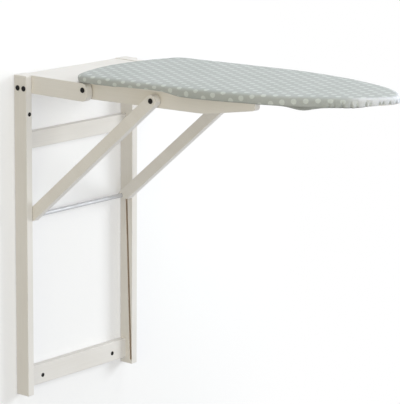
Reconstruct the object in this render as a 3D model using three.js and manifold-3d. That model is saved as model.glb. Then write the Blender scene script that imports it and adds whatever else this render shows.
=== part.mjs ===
// Wall-hung folding ironing board: a painted timber frame with a fixed shelf, a padded
// board hinged on the ends of two arms, and a pair of struts whose rod runs in slanted
// grooves of the stiles. Millimetres, +Z up. X runs along the wall, the wall is the plane
// Y = 0 and the board reaches out towards -Y. The origin is the middle of the bottom
// rail's wall face. The board is shown open.
import * as THREE from 'three';
import { mergeVertices } from 'three/addons/utils/BufferGeometryUtils.js';
import Module from 'manifold-3d';

const wasm = await Module();
wasm.setup();

// ---------- driving dimensions ----------

// wall frame
const frameHeight = 900;
const frameWidth = 450;
const stileThickness = 22;
const stileDepth = 45;
const wallRailThickness = 22;
const bottomRailHeight = 56;
const bottomRailLift = 17;
const middleRailHeight = 46;
const middleRailLift = 693;

// arms and shelf
const armThickness = 22;
const armHeight = 50;
const armReach = 248;
const armNoseRadius = 18;
const armChinRadius = 18;
const shelfThickness = 16;
const shelfDepth = 195;
const shelfDrop = 2;

// board hinge, measured from the front end and the top of an arm
const hingeSetback = 15;
const hingeDrop = 19;
const openRise = 1.2;

// board: outline of the finished, covered board, measured from the hinge line
const boardWidth = 427;
const noseReach = 873;
const straightReach = 345;
const noseFullness = 1.7;
const noseRoundness = 1.82;
const heelReach = 7;
const heelBow = 64;
const heelCornerRadius = 24;
const panelThickness = 12;
const panelInset = 3;
const padThickness = 5.2;
const coverThickness = 1.6;
const coverEdgeRound = 5;
const skirtDepth = 26;
const skirtRaisedReach = 30;

// rails and battens under the board
const railThickness = 20;
const railRise = 22;
const railDrop = 26.5;
const railHeel = 20;
const railHeelRadius = 20;
const railTaperReach = 400;
const railReach = 567;
const railTipDepth = 24;
const railTipRadius = 9;
const battenWidth = 44;
const battenThickness = 18;
const rearBattenReach = 40;
const frontBattenReach = 470;

// struts and rod
const strutWidth = 33;
const strutFootOffset = 4;
const strutFootDrop = 7.5;
const strutPivotReach = 239;
const strutPivotDrop = 6;
const rodDiameter = 12;
const rodSpigotDiameter = 8;
const guidePinDiameter = 6;

// groove in the stiles, measured from the wall and from the foot of the frame
const grooveDepth = 9;
const grooveHeadDepth = 23;
const grooveHeadHeight = 504;
const grooveFootDepth = 41;
const grooveFootHeight = 15;
const hookLength = 8;
const hookFall = 4;

// fasteners
const boltDiameter = 6;
const boltHeadDiameter = 15;
const boltHeadHeight = 3.6;
const socketWidth = 5;
const socketDepth = 1.8;
const nutWidth = 10;
const nutHeight = 7;
const washerDiameter = 18;
const laneGap = 2;
const screwDiameter = 5;
const wallScrewHead = 12;
const battenScrewHead = 9;
const screwHeadDepth = 3;
const wallScrewDrop = 106;
const wallScrewInset = 13;
const bottomScrewInset = 81;
const battenScrewLength = 25;
const dowelDiameter = 8;
const dowelLength = 30;
const dowelEndGap = 1;
const armBoltDepths = [14, 36];
const armBoltLift = 15;

// clearances
const runGap = 1;
const seatGap = 0.3;
const ease = 1.2;
const cornerRadius = 2;

// ---------- sizes that follow ----------

const stileInner = frameWidth / 2 - stileThickness;
const armInner = stileInner - armThickness;
const strutOuter = stileInner - runGap;
const railOuter = armInner - laneGap;
const railInner = railOuter - railThickness;
const originHeight = bottomRailLift + bottomRailHeight / 2;
const armBottom = frameHeight - armHeight;
const hingeY = -(armReach - hingeSetback);
const hingeZ = frameHeight - hingeDrop;
const panelBottom = railRise + seatGap;
const padBottom = panelBottom + panelThickness + seatGap;
const coverCeiling = padBottom + padThickness + seatGap;
const coverTop = coverCeiling + coverThickness;
const grooveWidth = guidePinDiameter + 2 * seatGap;
const rise = THREE.MathUtils.degToRad(openRise);
const strutPivotY = hingeY - strutPivotReach * Math.cos(rise) - strutPivotDrop * Math.sin(rise);
const strutPivotZ = hingeZ + strutPivotReach * Math.sin(rise) - strutPivotDrop * Math.cos(rise);
const strutRunY = -grooveHeadDepth - strutPivotY;
const strutRunZ = grooveHeadHeight - strutPivotZ;
const strutLength = Math.hypot(strutRunY, strutRunZ);
const strutLean = Math.atan2(strutRunY, -strutRunZ);

// ---------- materials ----------

const paintedWood = new THREE.MeshStandardMaterial({ color: 0xdcd7cf, roughness: 0.55 });
const paintedPanel = new THREE.MeshStandardMaterial({ color: 0xe2dfd8, roughness: 0.6 });
const beech = new THREE.MeshStandardMaterial({ color: 0xd2b48c, roughness: 0.7 });
const blackSteel = new THREE.MeshStandardMaterial({ color: 0x1b1b1d, roughness: 0.4, metalness: 0.8 });
const satinSteel = new THREE.MeshStandardMaterial({ color: 0xb9bcc0, roughness: 0.3, metalness: 0.9 });
const nylon = new THREE.MeshStandardMaterial({ color: 0xe9e9e4, roughness: 0.45 });
const feltPad = new THREE.MeshStandardMaterial({ color: 0xefeee8, roughness: 0.95 });
const sageCotton = new THREE.MeshStandardMaterial({ color: 0x9aa7a3, roughness: 0.9 });

// ---------- solids ----------

function toSolid(geometry) {
  const bare = geometry.clone();
  bare.deleteAttribute('normal');
  bare.deleteAttribute('uv');
  const merged = mergeVertices(bare, 1e-4);
  return new wasm.Manifold(new wasm.Mesh({
    numProp: 3,
    vertProperties: new Float32Array(merged.attributes.position.array),
    triVerts: new Uint32Array(merged.index.array),
  }));
}

function toGeometry(solid) {
  const mesh = solid.getMesh();
  const geometry = new THREE.BufferGeometry();
  geometry.setAttribute('position', new THREE.BufferAttribute(new Float32Array(mesh.vertProperties), 3));
  geometry.setIndex(new THREE.BufferAttribute(new Uint32Array(mesh.triVerts), 1));
  geometry.computeVertexNormals();
  return geometry;
}

function cut(body, ...tools) {
  let solid = toSolid(body);
  for (const tool of tools) solid = solid.subtract(toSolid(tool));
  return toGeometry(solid);
}

function join(...pieces) {
  let solid = toSolid(pieces[0]);
  for (const piece of pieces.slice(1)) solid = solid.add(toSolid(piece));
  return toGeometry(solid);
}

// ---------- basic forms ----------

// x from and to, on one side of the middle, given two distances from it
function span(side, inner, outer) {
  return side < 0 ? [-outer, -inner] : [inner, outer];
}

// a plate from an outline drawn in Y and Z, between two x values, with eased edges
function plate(outline, [x0, x1], edge = ease, arcSteps = 2) {
  const geometry = new THREE.ExtrudeGeometry(outline, {
    depth: x1 - x0 - 2 * edge,
    bevelEnabled: edge > 0,
    bevelThickness: edge,
    bevelSize: edge,
    bevelOffset: -edge,
    bevelSegments: 2,
    curveSegments: arcSteps,
  });
  geometry.translate(0, 0, x0 + edge);
  const yzx = new THREE.Matrix4().set(0, 0, 1, 0, 1, 0, 0, 0, 0, 1, 0, 0, 0, 0, 0, 1);
  return geometry.applyMatrix4(yzx);
}

// a slab from an outline drawn in X and Y, between two z values
function slab(outline, z0, z1, edge = 0, steps = 2) {
  const geometry = new THREE.ExtrudeGeometry(outline, {
    depth: z1 - z0 - 2 * edge,
    bevelEnabled: edge > 0,
    bevelThickness: edge,
    bevelSize: edge,
    bevelOffset: -edge,
    bevelSegments: steps,
    curveSegments: 8,
  });
  return geometry.translate(0, 0, z0 + edge);
}

// rectangle with its own radius at each corner: low-low, high-low, high-high, low-high
function roundedRect(a0, b0, a1, b1, radii) {
  const [r0, r1, r2, r3] = Array.isArray(radii) ? radii : [radii, radii, radii, radii];
  const shape = new THREE.Shape();
  shape.moveTo(a0 + r0, b0);
  shape.lineTo(a1 - r1, b0);
  shape.absarc(a1 - r1, b0 + r1, r1, -Math.PI / 2, 0);
  shape.lineTo(a1, b1 - r2);
  shape.absarc(a1 - r2, b1 - r2, r2, 0, Math.PI / 2);
  shape.lineTo(a0 + r3, b1);
  shape.absarc(a0 + r3, b1 - r3, r3, Math.PI / 2, Math.PI);
  shape.lineTo(a0, b0 + r0);
  shape.absarc(a0 + r0, b0 + r0, r0, Math.PI, Math.PI * 1.5);
  return shape;
}

// slot outline with round ends between two points
function slotShape(a, b, width) {
  const turn = Math.atan2(b[1] - a[1], b[0] - a[0]);
  const shape = new THREE.Shape();
  shape.absarc(a[0], a[1], width / 2, turn + Math.PI / 2, turn + Math.PI * 1.5);
  shape.absarc(b[0], b[1], width / 2, turn - Math.PI / 2, turn + Math.PI / 2);
  shape.closePath();
  return shape;
}

// a turned piece along X from x = 0, its profile given as [x, radius] pairs
function turned(profile, sides) {
  const points = profile.map(([along, radius]) => new THREE.Vector2(radius, along));
  const geometry = new THREE.LatheGeometry(points, sides);
  return geometry.rotateZ(-Math.PI / 2);
}

function rodX(x0, x1, diameter, y, z, sides = 14) {
  const radius = diameter / 2;
  return turned([[0, 0], [0, radius], [x1 - x0, radius], [x1 - x0, 0]], sides).translate(x0, y, z);
}

// ---------- fasteners, each along X with its head's seat at x = 0 and its shank to +x ----------

function buttonBolt(length) {
  const head = boltHeadDiameter / 2;
  const shank = boltDiameter / 2;
  const body = turned([
    [-boltHeadHeight, 0],
    [-boltHeadHeight, head * 0.45],
    [-boltHeadHeight * 0.8, head * 0.75],
    [-boltHeadHeight * 0.4, head * 0.95],
    [0, head],
    [0, shank],
    [length - 0.8, shank],
    [length, shank - 0.8],
    [length, 0],
  ], 14);
  const socket = turned([
    [-boltHeadHeight - 1, 0],
    [-boltHeadHeight - 1, socketWidth / Math.sqrt(3)],
    [-boltHeadHeight + socketDepth, socketWidth / Math.sqrt(3)],
    [-boltHeadHeight + socketDepth, 0],
  ], 6);
  return cut(body, socket);
}

// cap nut with its seat at x = 0, closed towards +x, bored for the bolt's end
function capNut() {
  const corner = nutWidth / Math.sqrt(3);
  const crown = nutWidth * 0.46;
  const hexagon = turned([[0, 0], [0, corner], [nutHeight * 0.55, corner], [nutHeight * 0.55, 0]], 6);
  const dome = turned([
    [0, 0],
    [0, crown],
    [nutHeight * 0.55, crown],
    [nutHeight * 0.85, crown * 0.75],
    [nutHeight, crown * 0.3],
    [nutHeight, 0],
  ], 12);
  const bore = rodX(-1, nutHeight * 0.7, boltDiameter + 2 * seatGap, 0, 0, 12);
  return cut(join(hexagon, dome), bore);
}

function washer(thickness) {
  const hole = boltDiameter / 2 + seatGap;
  return turned([
    [0, hole],
    [0, washerDiameter / 2],
    [thickness, washerDiameter / 2],
    [thickness, hole],
    [0, hole],
  ], 16);
}

// countersunk screw: head face at x = 0, shank to +x, with a cross recess
function woodScrew(length, headDiameter) {
  const head = headDiameter / 2;
  const shank = screwDiameter / 2;
  const body = turned([
    [0, 0],
    [0, head],
    [0.5, head],
    [screwHeadDepth, shank],
    [length - shank, shank],
    [length - 0.4, 0.6],
    [length, 0],
  ], 12);
  const arm = headDiameter * 0.28;
  const slotDepth = screwHeadDepth * 0.6;
  const upright = new THREE.BoxGeometry(2 * slotDepth, 1.1, 2 * arm);
  const level = new THREE.BoxGeometry(2 * slotDepth, 2 * arm, 1.1);
  return cut(body, upright, level);
}

// the hole that such a screw sits in, a clearance wider all round
function screwHole(length, headDiameter) {
  const head = headDiameter / 2 + seatGap;
  const shank = screwDiameter / 2 + seatGap;
  return turned([
    [-1, 0],
    [-1, head],
    [0.5, head],
    [screwHeadDepth, shank],
    [length, shank],
    [length, 0],
  ], 12);
}

function dowel() {
  const radius = dowelDiameter / 2;
  return turned([
    [0, 0],
    [0, radius - 1],
    [1, radius],
    [dowelLength - 1, radius],
    [dowelLength, radius - 1],
    [dowelLength, 0],
  ], 10);
}

// ---------- the scene graph ----------

const ironingBoard = new THREE.Group();
const frameGroup = new THREE.Group();
frameGroup.position.z = -originHeight;
ironingBoard.add(frameGroup);

// board group: its origin is the hinge line, its -Y axis runs out along the board
const boardGroup = new THREE.Group();
boardGroup.position.set(0, hingeY, hingeZ);
boardGroup.rotation.x = -rise;
frameGroup.add(boardGroup);

// strut group: its origin is the upper pivot, its -Z axis runs down the struts
const strutGroup = new THREE.Group();
strutGroup.position.set(0, strutPivotY, strutPivotZ);
strutGroup.rotation.x = strutLean;
frameGroup.add(strutGroup);

function place(group, name, geometry, material, position = [0, 0, 0]) {
  const mesh = new THREE.Mesh(geometry, material.clone());
  mesh.name = name;
  mesh.position.set(...position);
  group.add(mesh);
  return mesh;
}

const sides = [['left', -1], ['right', 1]];

// a fastener made along +X, turned to point at the middle from the given side
function facing(side, geometry) {
  return side < 0 ? geometry : geometry.clone().rotateZ(Math.PI);
}

// ---------- wall frame ----------

const dowelHeights = [
  bottomRailLift + bottomRailHeight * 0.25,
  bottomRailLift + bottomRailHeight * 0.75,
  middleRailLift + middleRailHeight * 0.25,
  middleRailLift + middleRailHeight * 0.75,
];
const wallScrewHeight = frameHeight - wallScrewDrop;
const stileDowelDepth = dowelLength / 2 + dowelEndGap;

function dowelHole(x, y, z, depth) {
  return rodX(x - depth, x + depth, dowelDiameter + 2 * seatGap, y, z, 10);
}

function makeStile(side) {
  const outline = roundedRect(-stileDepth, 0, 0, frameHeight, cornerRadius);
  const body = plate(outline, span(side, stileInner, frameWidth / 2));
  const tools = [];
  const floor = span(side, stileInner - 1, stileInner + grooveDepth);
  const head = [-grooveHeadDepth, grooveHeadHeight];
  const foot = [-grooveFootDepth, grooveFootHeight];
  const hook = [head[0] + hookLength, head[1] - hookFall];
  tools.push(plate(slotShape(foot, head, grooveWidth), floor, 0, 4));
  tools.push(plate(slotShape(head, hook, grooveWidth), floor, 0, 4));
  for (const depth of armBoltDepths) {
    const [x0, x1] = span(side, stileInner - 1, frameWidth / 2 + 1);
    tools.push(rodX(x0, x1, boltDiameter + 2 * seatGap, -depth, armBottom + armBoltLift));
  }
  for (const height of dowelHeights) {
    tools.push(dowelHole(side * stileInner, -wallRailThickness / 2, height, stileDowelDepth));
  }
  const screwWay = screwHole(stileDepth + 1, wallScrewHead).rotateZ(Math.PI / 2);
  tools.push(screwWay.translate(side * (frameWidth / 2 - wallScrewInset), -stileDepth, wallScrewHeight));
  return cut(body, ...tools);
}

for (const [name, side] of sides) {
  place(frameGroup, `${name}_stile`, makeStile(side), paintedWood);
}

function makeWallRail(lift, height, heights) {
  const outline = roundedRect(-wallRailThickness, lift, 0, lift + height, cornerRadius);
  const body = plate(outline, [-stileInner, stileInner], 0);
  const tools = [];
  for (const [, side] of sides) {
    for (const z of heights) {
      tools.push(dowelHole(side * stileInner, -wallRailThickness / 2, z, stileDowelDepth));
    }
  }
  return { body, tools };
}

const bottomRail = makeWallRail(bottomRailLift, bottomRailHeight, dowelHeights.slice(0, 2));
const middleRail = makeWallRail(middleRailLift, middleRailHeight, dowelHeights.slice(2));
const bottomScrewX = stileInner - bottomScrewInset + stileThickness;
const bottomScrewHeight = bottomRailLift + bottomRailHeight * 0.42;
for (const [, side] of sides) {
  const hole = screwHole(wallRailThickness + 1, wallScrewHead).rotateZ(Math.PI / 2);
  bottomRail.tools.push(hole.translate(side * bottomScrewX, -wallRailThickness, bottomScrewHeight));
}
place(frameGroup, 'bottom_rail', cut(bottomRail.body, ...bottomRail.tools), paintedWood);
place(frameGroup, 'middle_rail', cut(middleRail.body, ...middleRail.tools), paintedWood);

const levels = ['bottom_low', 'bottom_high', 'middle_low', 'middle_high'];
for (const [name, side] of sides) {
  dowelHeights.forEach((height, index) => {
    const start = [side * stileInner - dowelLength / 2, -wallRailThickness / 2, height];
    place(frameGroup, `${name}_${levels[index]}_dowel`, dowel(), beech, start);
  });
}

// screws into the wall, cut off level with the wall face
for (const [name, side] of sides) {
  const upper = woodScrew(stileDepth - seatGap, wallScrewHead).rotateZ(Math.PI / 2);
  const lower = woodScrew(wallRailThickness - seatGap, wallScrewHead).rotateZ(Math.PI / 2);
  const upperX = side * (frameWidth / 2 - wallScrewInset);
  place(frameGroup, `${name}_upper_wall_screw`, upper, blackSteel, [upperX, -stileDepth, wallScrewHeight]);
  const lowerAt = [side * bottomScrewX, -wallRailThickness, bottomScrewHeight];
  place(frameGroup, `${name}_lower_wall_screw`, lower, blackSteel, lowerAt);
}

// ---------- arms and shelf ----------

const shelfTop = frameHeight - shelfDrop;
const shelfMiddle = shelfTop - shelfThickness / 2;
const shelfDowelDepths = [shelfDepth * 0.3, shelfDepth * 0.8];
const shelfDowelReach = armThickness * 0.6;

function makeArm(side) {
  const outline = roundedRect(
    -armReach, armBottom, 0, frameHeight, [armChinRadius, cornerRadius, cornerRadius, armNoseRadius]);
  const [x0, x1] = span(side, armInner, stileInner);
  const body = plate(outline, [x0, x1], ease, 4);
  const boltHole = boltDiameter + 2 * seatGap;
  const tools = [rodX(x0 - 1, x1 + 1, boltHole, hingeY, hingeZ)];
  for (const depth of armBoltDepths) {
    tools.push(rodX(x0 - 1, x1 + 1, boltHole, -depth, armBottom + armBoltLift));
  }
  for (const depth of shelfDowelDepths) {
    tools.push(dowelHole(side * armInner, -depth, shelfMiddle, shelfDowelReach + dowelEndGap));
  }
  return cut(body, ...tools);
}

function makeShelf() {
  const outline = roundedRect(
    -shelfDepth, shelfTop - shelfThickness, 0, shelfTop, [4, cornerRadius, cornerRadius, 4]);
  const body = plate(outline, [-armInner, armInner], 0);
  const tools = [];
  for (const [, side] of sides) {
    for (const depth of shelfDowelDepths) {
      tools.push(dowelHole(side * armInner, -depth, shelfMiddle, dowelLength - shelfDowelReach + dowelEndGap));
    }
  }
  return cut(body, ...tools);
}

place(frameGroup, 'shelf', makeShelf(), paintedWood);
for (const [name, side] of sides) {
  place(frameGroup, `${name}_arm`, makeArm(side), paintedWood);
  shelfDowelDepths.forEach((depth, index) => {
    const outerEnd = side * (armInner + shelfDowelReach);
    const start = side < 0 ? outerEnd : outerEnd - dowelLength;
    const end = index === 0 ? 'rear' : 'front';
    place(frameGroup, `${name}_shelf_${end}_dowel`, dowel(), beech, [start, -depth, shelfMiddle]);
  });
  armBoltDepths.forEach((depth, index) => {
    const end = index === 0 ? 'rear' : 'front';
    const at = [side * (frameWidth / 2 + seatGap), -depth, armBottom + armBoltLift];
    const grip = stileThickness + armThickness + nutHeight * 0.5;
    place(frameGroup, `${name}_arm_${end}_bolt`, facing(side, buttonBolt(grip)), blackSteel, at);
    const nutAt = [side * (armInner - seatGap), -depth, armBottom + armBoltLift];
    place(frameGroup, `${name}_arm_${end}_nut`, facing(side, capNut()), blackSteel, nutAt);
  });
  const hingeAt = [side * (stileInner + seatGap), hingeY, hingeZ];
  const hingeGrip = armThickness + laneGap + railThickness + nutHeight * 0.5;
  place(frameGroup, `${name}_hinge_bolt`, facing(side, buttonBolt(hingeGrip)), blackSteel, hingeAt);
  const washerAt = [side * (armInner - seatGap), hingeY, hingeZ];
  place(frameGroup, `${name}_hinge_washer`, facing(side, washer(laneGap - 2 * seatGap)), nylon, washerAt);
  const nutAt = [side * (railInner - seatGap), hingeY, hingeZ];
  place(frameGroup, `${name}_hinge_nut`, facing(side, capNut()), blackSteel, nutAt);
}

// ---------- board ----------

// outline of the board seen from above, drawn in by an inset all round: a bowed heel with
// round corners, straight sides and a nose that follows a power curve
function boardOutline(inset) {
  const half = boardWidth / 2 - inset;
  const heel = heelReach - inset;
  const nose = noseReach - inset;
  const radius = heelCornerRadius - inset;
  const chord = half - radius;
  const bow = heelBow;
  const shape = new THREE.Shape();
  const heelSteps = 12;
  for (let i = 0; i <= heelSteps; i += 1) {
    const x = -chord + (2 * chord * i) / heelSteps;
    const y = heel + bow * (1 - (x / half) ** 2);
    if (i === 0) shape.moveTo(x, y);
    else shape.lineTo(x, y);
  }
  shape.quadraticCurveTo(half, heel, half, heel - 2 * radius);
  const noseSteps = 22;
  const noseLength = nose - straightReach;
  for (let i = 0; i <= noseSteps; i += 1) {
    const turn = (Math.PI / 2) * (i / noseSteps);
    const x = half * Math.cos(turn) ** (2 / noseFullness);
    const y = -straightReach - noseLength * Math.sin(turn) ** (2 / noseRoundness);
    shape.lineTo(x, y);
  }
  for (let i = noseSteps - 1; i >= 0; i -= 1) {
    const turn = (Math.PI / 2) * (i / noseSteps);
    const x = -half * Math.cos(turn) ** (2 / noseFullness);
    const y = -straightReach - noseLength * Math.sin(turn) ** (2 / noseRoundness);
    shape.lineTo(x, y);
  }
  shape.lineTo(-half, heel - 2 * radius);
  shape.quadraticCurveTo(-half, heel, -chord, heel + bow * (1 - (chord / half) ** 2));
  return shape;
}

function makeCover() {
  const outer = slab(boardOutline(0), coverTop - skirtDepth, coverTop, coverEdgeRound, 3);
  const bottomOff = new THREE.BoxGeometry(boardWidth * 2, noseReach * 3, 2 * coverEdgeRound);
  bottomOff.translate(0, 0, coverTop - skirtDepth);
  const hollow = slab(boardOutline(coverThickness), coverTop - skirtDepth - 1, coverCeiling);
  const raised = new THREE.BoxGeometry(boardWidth * 2, 2 * skirtRaisedReach + 2 * noseReach, panelBottom);
  raised.translate(0, noseReach, panelBottom / 2);
  return cut(outer, bottomOff, hollow, raised);
}

place(boardGroup, 'board_panel', slab(boardOutline(panelInset), panelBottom, panelBottom + panelThickness), paintedPanel);
place(boardGroup, 'board_pad', slab(boardOutline(panelInset + 1), padBottom, padBottom + padThickness), feltPad);
place(boardGroup, 'board_cover', makeCover(), sageCotton);

function makeBoardRail(side) {
  const outline = new THREE.Shape();
  outline.moveTo(railHeel - 5, railRise);
  outline.lineTo(-railReach + 5, railRise);
  outline.quadraticCurveTo(-railReach, railRise, -railReach, railRise - 5);
  const tip = railRise - railTipDepth;
  const taper = (railDrop + tip) / (railReach - railTaperReach);
  outline.lineTo(-railReach, tip + railTipRadius);
  outline.quadraticCurveTo(-railReach, tip, -railReach + railTipRadius, tip - taper * railTipRadius);
  outline.lineTo(-railTaperReach - 25, -railDrop + 25 * taper);
  outline.quadraticCurveTo(-railTaperReach, -railDrop, -railTaperReach + 25, -railDrop);
  outline.lineTo(railHeel - railHeelRadius, -railDrop);
  outline.absarc(railHeel - railHeelRadius, -railDrop + railHeelRadius, railHeelRadius, -Math.PI / 2, 0);
  outline.lineTo(railHeel, railRise - 5);
  outline.quadraticCurveTo(railHeel, railRise, railHeel - 5, railRise);
  const [x0, x1] = span(side, railInner, railOuter);
  const body = plate(outline, [x0, x1], ease, 4);
  const hole = boltDiameter + 2 * seatGap;
  return cut(
    body,
    rodX(x0 - 1, x1 + 1, hole, 0, 0),
    rodX(x0 - 1, x1 + 1, hole, -strutPivotReach, -strutPivotDrop),
  );
}

for (const [name, side] of sides) {
  place(boardGroup, `${name}_board_rail`, makeBoardRail(side), paintedWood);
}

const battenScrewX = railInner * 0.6;
const battens = [['rear', rearBattenReach], ['front', frontBattenReach]];
for (const [end, reach] of battens) {
  const top = railRise;
  const outline = roundedRect(-reach - battenWidth, top - battenThickness, -reach, top, cornerRadius);
  const body = plate(outline, [-railInner + seatGap, railInner - seatGap], 0);
  const tools = [];
  for (const [, side] of sides) {
    const way = screwHole(battenThickness + 1, battenScrewHead).rotateY(-Math.PI / 2);
    tools.push(way.translate(side * battenScrewX, -reach - battenWidth / 2, top - battenThickness));
  }
  place(boardGroup, `${end}_batten`, cut(body, ...tools), paintedWood);
}

// the panel's screw holes: blind, from below
const panelMesh = boardGroup.getObjectByName('board_panel');
const panelTools = [];
for (const [end, reach] of battens) {
  for (const [name, side] of sides) {
    const at = [side * battenScrewX, -reach - battenWidth / 2, railRise - battenThickness];
    const way = screwHole(battenScrewLength + seatGap, battenScrewHead).rotateY(-Math.PI / 2);
    panelTools.push(way.translate(...at));
    const screw = woodScrew(battenScrewLength, battenScrewHead).rotateY(-Math.PI / 2);
    place(boardGroup, `${name}_${end}_batten_screw`, screw, blackSteel, at);
  }
}
panelMesh.geometry = cut(panelMesh.geometry, ...panelTools);

// ---------- struts, rod and guide pins ----------

// a strut is cut level below the rod when the board is open
function makeStrut(side) {
  const outline = slotShape([0, 0], [-strutFootOffset, -strutLength], strutWidth);
  const [x0, x1] = span(side, armInner, strutOuter);
  const body = plate(outline, [x0, x1], ease, 5);
  const footOff = new THREE.BoxGeometry(frameWidth, 4 * strutWidth, strutWidth);
  footOff.translate(0, 0, -strutFootDrop - strutWidth / 2);
  footOff.rotateX(-strutLean).translate(0, 0, -strutLength);
  return cut(
    body,
    footOff,
    rodX(x0 - 1, x1 + 1, boltDiameter + 2 * seatGap, 0, 0),
    rodX(x0 - 1, x1 + 1, rodSpigotDiameter + 2 * seatGap, 0, -strutLength),
  );
}

for (const [name, side] of sides) {
  place(strutGroup, `${name}_strut`, makeStrut(side), paintedWood);
  const boltAt = [side * (strutOuter + seatGap), 0, 0];
  const grip = strutOuter - railInner + nutHeight * 0.5;
  place(strutGroup, `${name}_strut_bolt`, facing(side, buttonBolt(grip)), blackSteel, boltAt);
  const washerAt = [side * (armInner - seatGap), 0, 0];
  place(strutGroup, `${name}_strut_washer`, facing(side, washer(laneGap - 2 * seatGap)), nylon, washerAt);
  place(strutGroup, `${name}_strut_nut`, facing(side, capNut()), blackSteel, [side * (railInner - seatGap), 0, 0]);
}

const rodHalf = armInner - seatGap;
const spigotHalf = strutOuter - 1;
const rodProfile = [
  [0, 0],
  [0, rodSpigotDiameter / 2 - 0.6],
  [0.6, rodSpigotDiameter / 2],
  [spigotHalf - rodHalf, rodSpigotDiameter / 2],
  [spigotHalf - rodHalf, rodDiameter / 2],
  [spigotHalf + rodHalf, rodDiameter / 2],
  [spigotHalf + rodHalf, rodSpigotDiameter / 2],
  [2 * spigotHalf - 0.6, rodSpigotDiameter / 2],
  [2 * spigotHalf, rodSpigotDiameter / 2 - 0.6],
  [2 * spigotHalf, 0],
];
place(strutGroup, 'cross_rod', turned(rodProfile, 24), satinSteel, [-spigotHalf, 0, -strutLength]);

const guidePinLength = grooveDepth - 2 * seatGap;
for (const [name, side] of sides) {
  const radius = guidePinDiameter / 2;
  const profile = [
    [0, 0],
    [0, radius - 0.6],
    [0.6, radius],
    [guidePinLength - 0.6, radius],
    [guidePinLength, radius - 0.6],
    [guidePinLength, 0],
  ];
  const x = side * (stileInner + seatGap);
  const pin = facing(-side, turned(profile, 16));
  place(frameGroup, `${name}_guide_pin`, pin, satinSteel, [x, -grooveHeadDepth, grooveHeadHeight]);
}

export default ironingBoard;
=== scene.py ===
# Looks for the wall-hung folding ironing board: painted timber, black fasteners, a satin
# rod and a padded cotton cover. Metres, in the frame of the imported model.
import bpy
import bmesh
import math
from mathutils import Matrix, Vector, noise


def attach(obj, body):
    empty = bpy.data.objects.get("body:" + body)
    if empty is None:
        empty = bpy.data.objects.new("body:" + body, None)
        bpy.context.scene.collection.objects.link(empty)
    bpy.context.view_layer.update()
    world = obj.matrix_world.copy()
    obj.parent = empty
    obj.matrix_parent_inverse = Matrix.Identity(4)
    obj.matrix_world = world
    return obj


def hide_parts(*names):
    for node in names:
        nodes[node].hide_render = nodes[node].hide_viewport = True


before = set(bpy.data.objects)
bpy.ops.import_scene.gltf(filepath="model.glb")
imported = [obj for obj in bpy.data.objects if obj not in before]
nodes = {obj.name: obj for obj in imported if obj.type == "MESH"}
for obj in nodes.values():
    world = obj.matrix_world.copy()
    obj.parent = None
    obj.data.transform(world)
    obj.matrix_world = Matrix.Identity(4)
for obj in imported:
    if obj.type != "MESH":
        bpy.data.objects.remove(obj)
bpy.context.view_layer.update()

MM = 0.001

# ---------- camera, at the photograph's view ----------

CAMERA_SPOT = (-4.4839, -4.2580, 1.8332)
CAMERA_YAW, CAMERA_PITCH, CAMERA_ROLL = (math.radians(turn) for turn in (49.822, 12.466, 0.484))
SENSOR_WIDTH, FOCAL_LENGTH = 36, 202.24


def aim_camera():
    yaw, pitch, roll = CAMERA_YAW, CAMERA_PITCH, CAMERA_ROLL
    flat = math.cos(pitch)
    forward = Vector((math.sin(yaw) * flat, math.cos(yaw) * flat, -math.sin(pitch)))
    level = Vector((math.cos(yaw), -math.sin(yaw), 0))
    above = level.cross(forward)
    right = level * math.cos(roll) + above * math.sin(roll)
    up = above * math.cos(roll) - level * math.sin(roll)
    data = bpy.data.cameras.new("room_view")
    data.sensor_fit = "HORIZONTAL"
    data.sensor_width = SENSOR_WIDTH
    data.lens = FOCAL_LENGTH
    data.clip_start, data.clip_end = 0.1, 60
    camera = bpy.data.objects.new("room_view", data)
    turn = Matrix((right, up, -forward)).transposed().to_4x4()
    camera.matrix_world = Matrix.Translation(CAMERA_SPOT) @ turn
    bpy.context.scene.collection.objects.link(camera)
    bpy.context.scene.camera = camera


aim_camera()

# ---------- node helpers ----------


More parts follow.
